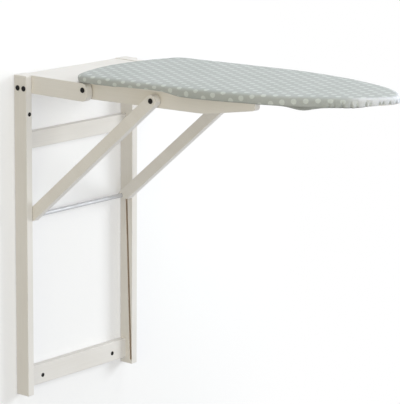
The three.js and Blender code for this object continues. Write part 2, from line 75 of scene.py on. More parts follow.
class Wiring:
    """Short calls for putting nodes in a tree and joining them up."""

    def __init__(self, tree):
        self.tree = tree
        self.across = 0

    def add(self, kind, inputs=None, **settings):
        node = self.tree.nodes.new(kind)
        node.location = (self.across, 0)
        self.across += 40
        for name, value in settings.items():
            setattr(node, name, value)
        for name, value in (inputs or {}).items():
            self.feed(node.inputs[name], value)
        return node

    def feed(self, socket, value):
        if isinstance(value, bpy.types.NodeSocket):
            self.tree.links.new(value, socket)
        elif value is not None:
            socket.default_value = value

    def math(self, operation, a, b=None, c=None, clamp=False):
        node = self.add("ShaderNodeMath", {0: a, 1: b, 2: c}, operation=operation, use_clamp=clamp)
        return node.outputs[0]

    def vector(self, operation, a, b=None, scale=None):
        inputs = {0: a, 1: b}
        if scale is not None:
            inputs["Scale"] = scale
        node = self.add("ShaderNodeVectorMath", inputs, operation=operation)
        return node.outputs["Value" if operation in ("LENGTH", "DOT_PRODUCT") else "Vector"]

    def noise(self, where, scale, detail=3.0, rough=0.5, distortion=0.0):
        node = self.add("ShaderNodeTexNoise", {
            "Vector": where, "Scale": scale, "Detail": detail,
            "Roughness": rough, "Distortion": distortion,
        })
        return node.outputs["Fac"]

    def ramp(self, value, low, high, out_low=0.0, out_high=1.0):
        node = self.add("ShaderNodeMapRange", {
            "Value": value, "From Min": low, "From Max": high,
            "To Min": out_low, "To Max": out_high,
        }, interpolation_type="SMOOTHSTEP", clamp=True)
        return node.outputs["Result"]

    def mix(self, factor, a, b, kind="MIX"):
        node = self.add("ShaderNodeMix", data_type="RGBA", blend_type=kind)
        self.feed(node.inputs["Factor"], factor)
        self.feed(node.inputs["A"], a)
        self.feed(node.inputs["B"], b)
        return node.outputs["Result"]

    def stretch(self, where, scale):
        node = self.add("ShaderNodeMapping", {"Vector": where, "Scale": scale})
        return node.outputs["Vector"]

    def bump(self, height, strength, distance, normal=None):
        node = self.add("ShaderNodeBump", {
            "Height": height, "Normal": normal, "Strength": strength, "Distance": distance})
        return node.outputs["Normal"]

    def object_place(self):
        return self.add("ShaderNodeTexCoord").outputs["Object"]


def linear(*levels):
    """A colour as it looks on a screen, 0 to 255, as the shader's own numbers."""
    out = []
    for level in levels:
        share = level / 255
        out.append(share / 12.92 if share <= 0.04045 else ((share + 0.055) / 1.055) ** 2.4)
    return (*out, 1.0)


def start_group(name, inputs, outputs):
    """An empty node group: its tree, its wiring, what it is given and what it gives out."""
    tree = bpy.data.node_groups.new(name, "ShaderNodeTree")
    for label, kind, value in inputs:
        socket = tree.interface.new_socket(label, in_out="INPUT", socket_type=f"NodeSocket{kind}")
        if value is not None:
            socket.default_value = value
    for label, kind in outputs:
        tree.interface.new_socket(label, in_out="OUTPUT", socket_type=f"NodeSocket{kind}")
    wiring = Wiring(tree)
    entry = wiring.add("NodeGroupInput")
    end = wiring.add("NodeGroupOutput")
    return tree, wiring, entry.outputs, end.inputs


# ---------- shared effects ----------


def make_soft_edge():
    """The normal with every arris rounded over, and a mask of where the arrises are."""
    tree, w, given, out = start_group(
        "rounded arris",
        [("Radius", "Float", 0.0015)],
        [("Normal", "Vector"), ("Arris", "Float")],
    )
    bevel = w.add("ShaderNodeBevel", {"Radius": given["Radius"]}, samples=6)
    flat = w.add("ShaderNodeNewGeometry")
    same = w.vector("DOT_PRODUCT", bevel.outputs["Normal"], flat.outputs["Normal"])
    w.feed(out["Normal"], bevel.outputs["Normal"])
    w.feed(out["Arris"], w.ramp(same, 0.995, 0.86))
    return tree


def make_brushed_paint():
    """Paint laid on along the grain: faint brush lines, a slow drift of tone, filled pores."""
    tree, w, given, out = start_group(
        "brushed paint",
        [
            ("Where", "Vector", None),
            ("Paint", "Color", linear(226, 221, 214)),
            ("Shade", "Color", linear(205, 199, 188)),
            ("Arris", "Float", 0.0),
            ("Drift", "Float", 0.5),
        ],
        [("Color", "Color"), ("Roughness", "Float"), ("Height", "Float")],
    )
    lines = w.noise(w.stretch(given["Where"], (420, 420, 9)), 1.0, 4, 0.6)
    pores = w.noise(w.stretch(given["Where"], (900, 900, 40)), 1.0, 2, 0.5)
    cloudy = w.noise(given["Where"], 5.5, 3, 0.55)
    broad = w.noise(w.stretch(given["Where"], (30, 30, 2.2)), 1.0, 3, 0.5)
    tone = w.math("MULTIPLY_ADD", cloudy, 0.55, w.math("MULTIPLY", broad, 0.45))
    tone = w.math("MULTIPLY", w.ramp(tone, 0.36, 0.66), given["Drift"])
    colour = w.mix(tone, given["Paint"], given["Shade"])
    streak = w.ramp(lines, 0.35, 0.7, 0.985, 1.012)
    grey = w.add("ShaderNodeCombineColor", {0: streak, 1: streak, 2: streak}).outputs[0]
    colour = w.mix(1.0, colour, grey, "MULTIPLY")
    rubbed = w.math("MULTIPLY", given["Arris"], w.ramp(cloudy, 0.45, 0.75))
    colour = w.mix(w.math("MULTIPLY", rubbed, 0.35), colour, linear(196, 182, 160))
    w.feed(out["Color"], colour)
    sheen = w.ramp(w.math("ADD", lines, w.math("MULTIPLY", cloudy, 0.6)), 0.5, 1.1, 0.40, 0.56)
    w.feed(out["Roughness"], sheen)
    height = w.math("MULTIPLY_ADD", lines, 0.7, w.math("MULTIPLY", w.ramp(pores, 0.62, 0.75), -0.5))
    w.feed(out["Height"], height)
    return tree


def make_scuffed_metal():
    """Handling marks on metal: fine turning lines along the piece and a smudged film."""
    tree, w, given, out = start_group(
        "handled metal",
        [
            ("Where", "Vector", None),
            ("Metal", "Color", linear(150, 155, 165)),
            ("Worn", "Color", linear(190, 194, 200)),
            ("Rough", "Float", 0.3),
            ("Arris", "Float", 0.0),
        ],
        [("Color", "Color"), ("Roughness", "Float"), ("Height", "Float")],
    )
    turning = w.noise(w.stretch(given["Where"], (1400, 240, 240)), 1.0, 3, 0.6)
    film = w.noise(given["Where"], 60, 4, 0.6, 0.4)
    worn_and_highlight = w.math("MULTIPLY", given["Arris"], w.ramp(film, 0.4, 0.62))
    bright = w.math("MAXIMUM", worn_and_highlight, w.ramp(turning, 0.66, 0.8, 0, 0.25))
    w.feed(out["Color"], w.mix(bright, given["Metal"], given["Worn"]))
    spread = w.ramp(film, 0.35, 0.7, -0.05, 0.12)
    w.feed(out["Roughness"], w.math("ADD", given["Rough"], spread, clamp=True))
    w.feed(out["Height"], turning)
    return tree


def make_plain_weave():
    """Warp and weft of a plain woven cotton, from a cloth map in metres."""
    tree, w, given, out = start_group(
        "plain weave",
        [("Cloth", "Vector", None), ("Threads", "Float", 1600.0)],
        [("Height", "Float"), ("Shade", "Float")],
    )
    wobble = w.noise(given["Cloth"], 90, 2, 0.5)
    parts = w.add("ShaderNodeSeparateXYZ", {0: given["Cloth"]})
    turn = w.math("MULTIPLY", given["Threads"], math.pi)
    warp = w.math("MULTIPLY_ADD", parts.outputs[0], turn, w.math("MULTIPLY", wobble, 3.0))
    weft = w.math("MULTIPLY_ADD", parts.outputs[1], turn, w.math("MULTIPLY", wobble, 3.0))
    over = w.math("MULTIPLY", w.math("SINE", warp), w.math("SINE", weft))
    slub = w.noise(w.stretch(given["Cloth"], (70, 900, 1)), 1.0, 2, 0.6)
    w.feed(out["Height"], w.math("MULTIPLY_ADD", over, 0.5, 0.5))
    w.feed(out["Shade"], w.math("MULTIPLY_ADD", over, 0.06, w.ramp(slub, 0.3, 0.75, 0.0, 0.5)))
    return tree


def make_dots():
    """Printed round dots in staggered rows, from a cloth map in metres."""
    tree, w, given, out = start_group(
        "staggered dots",
        [("Cloth", "Vector", None), ("Pitch", "Float", 0.0315), ("Radius", "Float", 0.0078)],
        [("Dot", "Float")],
    )
    tall = w.math("MULTIPLY", given["Pitch"], math.sqrt(3))
    cell = w.add("ShaderNodeCombineXYZ", {0: given["Pitch"], 1: tall, 2: 1.0}).outputs[0]
    half = w.vector("SCALE", cell, scale=0.5)
    fuzz = w.math("MULTIPLY", w.noise(given["Cloth"], 700, 2, 0.5), 0.0012)
    nearest = None
    for shift in (None, half):
        at = given["Cloth"] if shift is None else w.vector("ADD", given["Cloth"], shift)
        inside = w.vector("WRAP", at, half)
        w.feed(inside.node.inputs[2], w.vector("SCALE", cell, scale=-0.5))
        flat = w.vector("MULTIPLY", inside, (1.0, 1.0, 0.0))
        away = w.vector("LENGTH", flat)
        nearest = away if nearest is None else w.math("MINIMUM", nearest, away)
    nearest = w.math("ADD", nearest, fuzz)
    inner = w.math("SUBTRACT", given["Radius"], 0.0004)
    outer = w.math("ADD", given["Radius"], 0.0008)
    node = w.add("ShaderNodeMapRange", {
        "Value": nearest, "From Min": inner, "From Max": outer, "To Min": 1.0, "To Max": 0.0,
    }, interpolation_type="SMOOTHSTEP", clamp=True)
    w.feed(out["Dot"], node.outputs["Result"])
    return tree


soft_edge = make_soft_edge()
brushed_paint = make_brushed_paint()
handled_metal = make_scuffed_metal()
plain_weave = make_plain_weave()
staggered_dots = make_dots()


def place_group(w, tree, **inputs):
    """Puts a shared effect in a material and returns its outputs."""
    node = w.add("ShaderNodeGroup")
    node.node_tree = tree
    for label, value in inputs.items():
        w.feed(node.inputs[label], value)
    return node.outputs


def start_material(name, **fixed):
    """A new material, its wiring and its shader's inputs, with the fixed ones set."""
    material = bpy.data.materials.new(name)
    material.use_nodes = True
    w = Wiring(material.node_tree)
    shader = material.node_tree.nodes["Principled BSDF"]
    for label, value in fixed.items():
        shader.inputs[label.replace("_", " ")].default_value = value
    return material, w, shader.inputs


# ---------- materials ----------


def painted_timber(name, paint, shade, grain=(0, 0, 0), drift=0.5):
    """Satin paint over timber. grain turns the piece so that its length lies along Z."""
    material, w, shader = start_material(name, Specular_IOR_Level=0.42)
    here = w.object_place()
    along = w.add("ShaderNodeMapping", {"Vector": here, "Rotation": grain}).outputs["Vector"]
    edge = place_group(w, soft_edge, Radius=0.0016)
    paint = place_group(
        w, brushed_paint, Where=along, Paint=linear(*paint), Shade=linear(*shade),
        Arris=edge["Arris"], Drift=drift)
    w.feed(shader["Base Color"], paint["Color"])
    w.feed(shader["Roughness"], paint["Roughness"])
    w.feed(shader["Normal"], w.bump(paint["Height"], 0.25, 0.0004, edge["Normal"]))
    return material


def metal_finish(name, metal, worn_and_highlight, rough, metallic, relief=0.1):
    """Handled metal: a darker body and paler arrises where hands and tools have rubbed."""
    material, w, shader = start_material(name, Metallic=metallic)
    here = w.object_place()
    edge = place_group(w, soft_edge, Radius=0.0004)
    film = place_group(
        w, handled_metal, Where=here, Metal=linear(*metal), Worn=linear(*worn_and_highlight),
        Rough=rough, Arris=edge["Arris"])
    w.feed(shader["Base Color"], film["Color"])
    w.feed(shader["Roughness"], film["Roughness"])
    w.feed(shader["Normal"], w.bump(film["Height"], relief, 0.0002, edge["Normal"]))
    return material


def raw_timber(name):
    """Unpainted turned beech: straight grain with short darker flecks."""
    material, w, shader = start_material(name)
    here = w.object_place()
    grain = w.noise(w.stretch(here, (14, 320, 320)), 1.0, 4, 0.6)
    fleck = w.noise(w.stretch(here, (90, 900, 900)), 1.0, 2, 0.5)
    colour = w.mix(w.ramp(grain, 0.35, 0.7), linear(214, 182, 140), linear(190, 150, 106))
    colour = w.mix(w.ramp(fleck, 0.64, 0.7), colour, linear(150, 108, 70))
    w.feed(shader["Base Color"], colour)
    w.feed(shader["Roughness"], w.ramp(grain, 0.3, 0.7, 0.6, 0.75))
    w.feed(shader["Normal"], w.bump(fleck, 0.3, 0.0003))
    return material


def groove_shade_paint(name):
    """Painted shade in the guide grooves: their faces darker and browner than the frame's paint, in
    patches.
    """
    material, w, shader = start_material(name, Specular_IOR_Level=0.3)
    here = w.object_place()
    grain = w.noise(w.stretch(here, (500, 500, 12)), 1.0, 4, 0.6)
    groove_patches = w.noise(w.stretch(here, (60, 60, 8)), 1.0, 3, 0.5)
    # painted shade: the groove faces are coloured darker and browner than the frame's paint, in
    # patches, standing in for the shade inside the groove
    colour = w.mix(w.ramp(grain, 0.35, 0.7), linear(216, 202, 186), linear(202, 186, 168))
    colour = w.mix(w.ramp(groove_patches, 0.5, 0.75, 0.0, 0.5), colour, linear(182, 164, 146))
    w.feed(shader["Base Color"], colour)
    w.feed(shader["Roughness"], w.ramp(groove_patches, 0.3, 0.7, 0.62, 0.48))
    w.feed(shader["Normal"], w.bump(grain, 0.3, 0.0004))
    return material


def moulded_nylon(name):
    """Off-white plastic with a slightly uneven moulded skin."""
    material, w, shader = start_material(name, Subsurface_Weight=0.05)
    here = w.object_place()
    cloudy = w.noise(here, 240, 3, 0.5)
    colour = w.mix(w.ramp(cloudy, 0.3, 0.7), linear(232, 231, 224), linear(218, 216, 206))
    w.feed(shader["Base Color"], colour)
    w.feed(shader["Roughness"], w.ramp(cloudy, 0.3, 0.7, 0.42, 0.55))
    w.feed(shader["Normal"], w.bump(w.noise(here, 1500, 2), 0.15, 0.0002))
    return material


DOT_SHIFT = (0.0184, -0.0011, 0)
DOT_TURN = (0, 0, math.radians(-3.2))


def dotted_cotton(name):
    """Sage cotton with pale printed dots; the cloth map turns round the board's edge."""
    material, w, shader = start_material(
        name, Sheen_Weight=0.12, Sheen_Roughness=0.6, Specular_IOR_Level=0.2)
    cloth = w.add("ShaderNodeUVMap", uv_map="cloth").outputs["UV"]
    skew = w.add("ShaderNodeMapping", {
        "Vector": cloth, "Location": DOT_SHIFT, "Rotation": DOT_TURN}).outputs[0]
    weave = place_group(w, plain_weave, Cloth=cloth)
    dot = place_group(w, staggered_dots, Cloth=skew)["Dot"]
    patchy = w.noise(cloth, 7, 3, 0.5)
    ground = w.mix(w.ramp(patchy, 0.35, 0.7), linear(184, 188, 186), linear(179, 184, 181))
    pale = w.mix(w.ramp(patchy, 0.35, 0.7), linear(210, 216, 212), linear(205, 211, 207))
    colour = w.mix(dot, ground, pale)
    # painted highlight: round the nose the edge of the cloth is mixed toward a bluish white,
    # standing in for the strong light that falls there
    rubbed = w.add("ShaderNodeAttribute", attribute_name="rubbed").outputs["Fac"]
    worn_and_highlight = w.math("MULTIPLY", rubbed, w.ramp(w.noise(cloth, 60, 3, 0.6), 0.3, 0.6, 0.5, 0.92))
    colour = w.mix(worn_and_highlight, colour, linear(236, 238, 243))
    shaded = w.add("ShaderNodeAttribute", attribute_name="shaded").outputs["Fac"]
    # painted shade: creases and the turned-under hem are darkened toward a grey, standing in for
    # the shade in the folds
    colour = w.mix(w.math("MULTIPLY", shaded, 0.88), colour, linear(84, 84, 78))
    colour = w.mix(w.math("MULTIPLY", weave["Shade"], 0.22), colour, linear(120, 130, 126))
    w.feed(shader["Base Color"], colour)
    w.feed(shader["Roughness"], w.math("MULTIPLY_ADD", weave["Height"], -0.08, 0.92))
    crumple = w.noise(cloth, 22, 3, 0.55)
    height = w.math("MULTIPLY_ADD", crumple, 1.2, w.math("MULTIPLY", weave["Height"], 0.25))
    w.feed(shader["Normal"], w.bump(height, 0.35, 0.0009))
    return material


# turns that bring a piece's grain to Z: of uprights, rails, arms and the leaning struts
UP, ACROSS, OUTWARD = (0, 0, 0), (0, math.radians(90), 0), (math.radians(90), 0, 0)
LEAN = (math.radians(49.8), 0, 0)
# the paint of the frame, and of the board's panel
WHITE, WHITE_SHADE = (234, 231, 226), (224, 220, 213)
MATT, MATT_SHADE = (232, 229, 223), (221, 217, 209)

upright_paint = painted_timber("satin paint, uprights", WHITE, WHITE_SHADE, UP)
rail_paint = painted_timber("satin paint, rails", WHITE, WHITE_SHADE, ACROSS)
arm_paint = painted_timber("satin paint, arms", WHITE, WHITE_SHADE, OUTWARD)
strut_paint = painted_timber("satin paint, struts", WHITE, WHITE_SHADE, LEAN)
panel_paint = painted_timber("matt paint, board panel", MATT, MATT_SHADE, OUTWARD, 0.8)
# painted shade for the faces of the guide grooves
groove_shade = groove_shade_paint("timber of the guide grooves")
black_oxide = metal_finish("black oxide steel", (30, 29, 30), (86, 84, 82), 0.42, 0.75)
satin_rod = metal_finish("satin drawn rod", (200, 201, 204), (213, 214, 216), 0.5, 0.42, 0.05)
beech = raw_timber("turned beech")
nylon = moulded_nylon("moulded nylon")
sage_cotton = dotted_cotton("sage dotted cotton")


def finish_for(name):
    """The finish of a piece, by its name."""
    if "dowel" in name:
        return beech
    if "washer" in name:
        return nylon
    if name == "cross_rod" or "guide_pin" in name:
        return satin_rod
    if any(part in name for part in ("bolt", "nut", "screw")):
        return black_oxide
    if name == "board_panel":
        return panel_paint
    if "stile" in name:
        return upright_paint
    if name in ("left_strut", "right_strut"):
        return strut_paint
    if "arm" in name or "board_rail" in name:
        return arm_paint
    return rail_paint


# the reach of the guide grooves: across, out from the wall and up, and their lowest part
GROOVE_ACROSS, GROOVE_OUT, GROOVE_UP = (0.2034, 0.2125), (-0.0446, -0.011), (0.02, 0.47)
GROOVE_FOOT_OUT, GROOVE_FOOT_UP = -0.017, (-0.034, 0.1)


def between(value, ends):
    return ends[0] < value < ends[1]


def in_groove(spot):
    """Whether a point of a stile lies on the walls or the floor of its guide groove."""
    inside = between(abs(spot.x), GROOVE_ACROSS) and between(spot.y, GROOVE_OUT)
    foot = spot.y < GROOVE_FOOT_OUT and between(spot.z, GROOVE_FOOT_UP)
    return inside and (between(spot.z, GROOVE_UP) or foot)


# faces that meet at less than this are shaded as one
SMOOTH_ANGLE = math.radians(32)


def dress(node):
    """Gives a piece its finish, and a stile's groove faces the darker painted shade of the groove.
    """
    node.data.materials.clear()
    node.data.materials.append(finish_for(node.name))
    if "stile" in node.name:
        # the faces of the guide grooves get the painted shade of the grooves
        node.data.materials.append(groove_shade)
        for face in node.data.polygons:
            if in_groove(node.matrix_world @ face.center):
                face.material_index = 1
    for face in node.data.polygons:
        face.use_smooth = True
    bpy.context.view_layer.objects.active = node
    node.select_set(True)
    bpy.ops.object.shade_auto_smooth(angle=SMOOTH_ANGLE)
    node.select_set(False)


for name, node in nodes.items():
    if name not in ("board_cover", "board_pad"):
        dress(node)

# ---------- the padded cover ----------

# the board's frame, in millimetres: across, out from the hinge line, and up from it
HINGE = Vector((0, -233, 836)) * MM
RISE = math.radians(1.2)
HALF_WIDTH = 213.5
HEEL, BOW, CORNER = 15.0, 54.0, 23.0
STRAIGHT, NOSE, FULLNESS, ROUNDNESS = 345.0, 873.0, 1.7, 1.82
BOARD_MIDDLE = 400.0
SPINE_START, SPINE_END = 120.0, NOSE - 170.0

# rings of the cover from the middle of the top, over the edge, under the board and back
# over the pad's underside: inward of the edge, height, how firmly it is held
RINGS = [
    ("top", 150.0, 43.6, 0.9), ("top", 110.0, 43.5, 0.85), ("top", 75.0, 43.4, 0.8),
    ("top", 50.0, 43.3, 0.7), ("top", 34.0, 43.1, 0.55), ("top", 23.0, 42.8, 0.4),
    ("top", 15.0, 42.4, 0.3), ("top", 9.0, 41.7, 0.25), ("top", 5.0, 40.5, 0.2),
    ("top", 2.2, 38.3, 0.15), ("side", 0.8, 35.2, 0.15), ("side", 0.2, 31.4, 0.2),
    ("side", 0.0, 27.6, 0.3), ("side", 0.1, 24.0, 0.4), ("side", 0.5, 20.9, 0.5),
    ("hem", 1.3, 18.4, 0.6), ("lip", 4.0, 17.5, 0.7), ("lip", 4.6, 16.5, 0.8),
    ("lip", 6.8, 15.8, 0.8), ("lip", 10.5, 16.4, 0.9), ("lip", 15.0, 17.6, 1.0),
    ("lip", 19.5, 18.8, 1.0), ("lip", 23.5, 19.7, 1.0), ("back", 24.5, 20.4, 1.0),
    ("back", 22.5, 21.2, 1.0), ("back", 15.0, 21.0, 1.0), ("back", 7.0, 20.6, 1.0),
    ("back", 2.4, 21.4, 1.0), ("back", 1.8, 26.0, 1.0), ("back", 1.8, 33.0, 1.0),
    ("inner", 4.0, 34.75, 1.0), ("inner", 60.0, 34.8, 1.0), ("inner", 150.0, 34.8, 1.0),
]
TOP_MIDDLE, INNER_MIDDLE = 43.7, 34.8

# the height of the cover's lower edge along the board, which is drawn up over the arms, over
# the strut heads and round the nose; nothing above LIFT_CEILING is drawn up
LOW_EDGE, LIFT_CEILING = 15.4, 34.0
LIFTS = [
    (-90, 20.35), (60, 20.35), (100, 20.5), (180, 22.6), (240, 24.0), (280, 23.4),
    (345, LOW_EDGE), (800, LOW_EDGE), (862, 20.7), (900, 20.7),
]

# the gathers: how far out they start and are full, and how strong the heel's are beside them
GATHER_START, GATHER_FULL, HEEL_GATHER = 715, 800, 0.35
# the creases: how many, where along the edge the first is, the least gap between two and how
# much it varies; half a crease's width, how far it is felt, its depth, and how far the left
# side's creases lie off the right side's
CREASE_COUNT, FIRST_CREASE, CREASE_GAP, CREASE_SPREAD = 60, 700.0, 15.0, 9.0
CREASE_WIDTH, CREASE_REACH, CREASE_DEPTH, CREASE_STAGGER = 2.6, 9, 6.0, 4.0
# the slack stretch of the edge: its middle, its half length and how far it hangs
SLACK_MIDDLE, SLACK_LENGTH, SLACK_FALL = 688, 34, 9.5
# how far the lip is drawn in at the nose, from where to where, and at the slack stretch
NOSE_TUCK, TUCK_START, TUCK_FULL, SLACK_TUCK = 6.0, 790, 855, 3.5
# where the painted highlight on the cloth round the nose starts, and where it is full
HIGHLIGHT_START, HIGHLIGHT_FULL = 775, 835
# on the flat cloth: the height at which it turns over the edge, how far out its lip starts,
# and where the part behind the lip lies
TURN_HEIGHT, LIP_START, BEHIND_LIP = 42.0, 26.0, 45.0


def on_board(x, reach, height):
    """A point of the open board in the room, given across, out from the hinge and up."""
    y = -reach * math.cos(RISE) + height * math.sin(RISE)
    z = reach * math.sin(RISE) + height * math.cos(RISE)
    return HINGE + Vector((x, y, z)) * MM


def smooth(low, high, value):
    """0 at low, 1 at high, eased at both ends; low may be the larger."""
    t = min(1.0, max(0.0, (value - low) / (high - low)))
    return t * t * (3 - 2 * t)


def wave(*place):
    """A smooth random level, the same on each run, at a place."""
    return noise.noise(Vector(place))


def heel_line(x):
    """How far out the bowed rear edge lies, which is less than nothing, at x across."""
    return -(HEEL + BOW * (1 - (x / HALF_WIDTH) ** 2))


def half_outline():
    """Right half of the board's edge, as (x, reach), from the middle of the heel to the nose."""
    chord = HALF_WIDTH - CORNER
    points = [(chord * i / 60, heel_line(chord * i / 60)) for i in range(61)]
    a, b, c = (chord, heel_line(chord)), (HALF_WIDTH, -HEEL), (HALF_WIDTH, 2 * CORNER - HEEL)
    for i in range(1, 25):
        t = i / 24
        points.append(tuple(
            (1 - t) ** 2 * a[k] + 2 * t * (1 - t) * b[k] + t * t * c[k] for k in (0, 1)))
    for i in range(1, 401):
        turn = math.pi / 2 * i / 400
        points.append((
            HALF_WIDTH * math.cos(turn) ** (2 / FULLNESS),
            STRAIGHT + (NOSE - STRAIGHT) * math.sin(turn) ** (2 / ROUNDNESS)))
    points[-1] = (0.0, NOSE)
    return points


def respaced(points):
    """The same line in even steps, as (spot, distance walked): finest round the nose."""
    lengths = [0.0]
    for a, b in zip(points, points[1:]):
        lengths.append(lengths[-1] + math.dist(a, b))
    out, walked, index = [], 0.0, 0
    while walked < lengths[-1]:
        while lengths[index + 1] < walked:
            index += 1
        t = (walked - lengths[index]) / (lengths[index + 1] - lengths[index])
        a, b = points[index], points[index + 1]
        spot = (a[0] + (b[0] - a[0]) * t, a[1] + (b[1] - a[1]) * t)
        out.append((spot, walked))
        walked += 2.2 if spot[1] > 560 else (4.0 if spot[1] < 60 else 5.0)
    out.append((points[-1], lengths[-1]))
    return out


def cover_rim():
    """The edge all round, as (spot, distance walked, side): right half, then left."""
    right = respaced(half_outline())
    left = [((-spot[0], spot[1]), walked) for spot, walked in reversed(right[1:-1])]
    sides = [0] + [1] * (len(right) - 2) + [0] + [-1] * len(left)
    return [(spot, walked, side) for (spot, walked), side in zip(right + left, sides)]


def outward_turns(rim):
    """The direction square to the edge, away from the board, at each point of the rim."""
    count = len(rim)
    turns = []
    for i in range(count):
        a, b = rim[(i - 1) % count][0], rim[(i + 1) % count][0]
        run = Vector((b[0] - a[0], b[1] - a[1])).normalized()
        turns.append(Vector((run[1], -run[0])))
    turns = [
        (turns[(i - 1) % count] + turns[i] * 2 + turns[(i + 1) % count]).normalized()
        for i in range(count)]
    if turns[0].dot(Vector((0, rim[0][0][1] - BOARD_MIDDLE))) < 0:
        turns = [-turn for turn in turns]
    return turns


def spread_creases():
    """Where the elastic pinches the cloth round the nose: distance along the edge, and depth."""
    spots, along = [], FIRST_CREASE
    for index in range(CREASE_COUNT):
        jitter = wave(index * 1.7, 3.1, 0.4) * CREASE_SPREAD
        spots.append((along + jitter, 0.75 + 0.6 * wave(index * 2.3, 9.2, 1.4)))
        along += CREASE_GAP + CREASE_SPREAD * abs(wave(index * 0.9, 0.3, 5.5))
    return spots


CREASES = spread_creases()


def creased(walked, reach, side):
    """How deep in a crease a point of the edge lies, 0 to about 1.3."""
    at = walked + (0.0 if side >= 0 else CREASE_STAGGER)
    depth = sum(
        deep * math.exp(-(((at - spot) / CREASE_WIDTH) ** 2))
        for spot, deep in CREASES if abs(at - spot) < CREASE_REACH)
    return smooth(GATHER_START, GATHER_FULL, reach) * depth


def gather(walked, reach, part, depth, height, side):
    """How far the gathered cloth stands proud of the edge, in millimetres, at a point of it."""
    full = smooth(GATHER_START, GATHER_FULL, reach) + smooth(40, -10, reach) * HEEL_GATHER
    if full <= 0 or part in ("back", "inner"):
        return 0.0
    drawn = smooth(26, 3, depth) * 0.08 if part == "top" else smooth(40.0, 19.0, height)
    soft = (abs(wave(walked / 12.0, side * 3.7, 1.3)) * 2.0 - 0.4) * 3.0
    return drawn * (full * soft - creased(walked, reach, side) * CREASE_DEPTH)


def slack(reach, side):
    """How much of the full slack a point of the edge has, 0 to 1: the near side has most."""
    return math.exp(-(((reach - SLACK_MIDDLE) / SLACK_LENGTH) ** 2)) * (1.0 if side < 0 else 0.5)


def tuck(reach, part, side):
    """How far the lip under the board is drawn in, in millimetres."""
    if part != "lip":
        return 0.0
    return NOSE_TUCK * smooth(TUCK_START, TUCK_FULL, reach) + SLACK_TUCK * slack(reach, side)


def sag(reach, side, part):
    """How far a point hangs below its ring: the slack stretch, and a little between gathers."""
    weight = {"lip": 1.0, "hem": 0.35, "side": 0.15}.get(part, 0.0)
    loose = 0.9 * wave(reach / 70.0, side * 2.1, 4.0)
    return -weight * (SLACK_FALL * slack(reach, side) + loose * smooth(820, 760, reach))


def raised(height, reach):
    """Draws the lower part of the cover up, so that its edge keeps to the line of LIFTS."""
    if height >= LIFT_CEILING:
        return height
    for (a, low_a), (b, low_b) in zip(LIFTS, LIFTS[1:]):
        if a <= reach <= b:
            low = low_a + (low_b - low_a) * smooth(a, b, reach)
            share = (height - LOW_EDGE) / (LIFT_CEILING - LOW_EDGE)
            return low + share * (LIFT_CEILING - low)
    return height


def spine(reach):
    """How far out the nearest point of the middle line is that the rings close on."""
    return min(SPINE_END, max(SPINE_START, reach))


def ring_point(ring, rim_point, out):
    """Where a ring passes a point of the rim, as across and out, and its height."""
    part, depth, height, _ = ring
    spot, walked, side = rim_point
    reach = spot[1]
    near = Vector(spot) - out * (depth + tuck(reach, part, side))
    to_spine = Vector((-spot[0], spine(reach) - reach))
    drawn = Vector(spot) + to_spine * (depth / 165.0 * 0.93)
    at = near.lerp(drawn, smooth(8, 40, depth))
    at = at + out * gather(walked, reach, part, depth, height, side)
    level = raised(height + sag(reach, side, part), reach)
    if part == "top":
        level += 0.5 * wave(at[0] / 55, at[1] / 70, 2.0)
        level += 0.25 * wave(at[0] / 18, at[1] / 24, 6.0)
    if part == "side":
        at = at + out * 0.7 * wave(walked / 40, height / 12, side)
    return at, level


def cloth_place(ring, spot, out, at):
    """Where a point lies on the flat cloth, so that the print runs on over the edge."""
    part, depth, height, _ = ring
    if part == "top" and depth >= 12:
        return at
    over = max(0.0, TURN_HEIGHT - height)
    if part == "top":
        return Vector(spot) - out * depth + out * over * 0.55
    if part == "lip":
        over = LIP_START + depth
    elif part in ("back", "inner"):
        over = BEHIND_LIP
    return Vector(spot) + out * over


def nose_painted_highlight(ring, reach):
    """How much painted highlight a point of the cloth gets, 0 to 1: only the edge round the nose
    gets it.
    """
    part, depth, _, _ = ring
    edge = {"side": 1.0, "hem": 1.0, "lip": 1.0, "top": smooth(16, 3, depth)}.get(part, 0.0)
    return edge * smooth(HIGHLIGHT_START, HIGHLIGHT_FULL, reach)


def shaded_fold(ring, rim_point):
    """How much painted shade a crease or the turned-under hem gets at a point, 0 to 1."""
    part, _, height, _ = ring
    spot, walked, side = rim_point
    # painted shade is deepest in creases low on the edge, and runs along the turned-under lip and
    # the slack hem
    low = {"lip": 1.0, "hem": 0.75, "side": 0.25}.get(part, 0.0) * smooth(33.0, 25.0, height)
    loose = slack(spot[1], side)
    turned = {"lip": 0.45 - 0.2 * loose, "hem": 0.6 * loose}.get(part, 0.0)
    return min(1.0, low * creased(walked, spot[1], side) + turned)


class ClothShell:
    """The cover's points with what each carries: its place on the cloth, its hold, its painted
    highlight and painted shade.
    """

    def __init__(self):
        self.points, self.cloth, self.hold = [], [], []
        self.tones = {"rubbed": [], "shaded": []}
        self.faces = []

    def add(self, point, laid, firm, rubbed=0.0, shaded=0.0):
        self.points.append(tuple(point))
        self.cloth.append((laid[0] * MM, laid[1] * MM))
        self.hold.append(firm)
        self.tones["rubbed"].append(rubbed)
        self.tones["shaded"].append(shaded)
        return len(self.points) - 1

    def close_middle(self, rim, ring, height, firm, flip):
        """Joins the given ring along the board's middle line."""
        count, seam = len(rim), {}

        def on_seam(i):
            reach = spine(rim[i][0][1])
            key = round(reach, 3)
            if key not in seam:
                seam[key] = self.add(on_board(0, reach, height), (0.0, reach), firm)
            return seam[key]

        ends = [on_seam(i) for i in range(count)]
        for i in range(count):
            j = (i + 1) % count
            across = [ends[j]] if ends[i] == ends[j] else [ends[j], ends[i]]
            loop = [ring * count + i, ring * count + j] + across
            self.faces.append(tuple(reversed(loop)) if flip else tuple(loop))


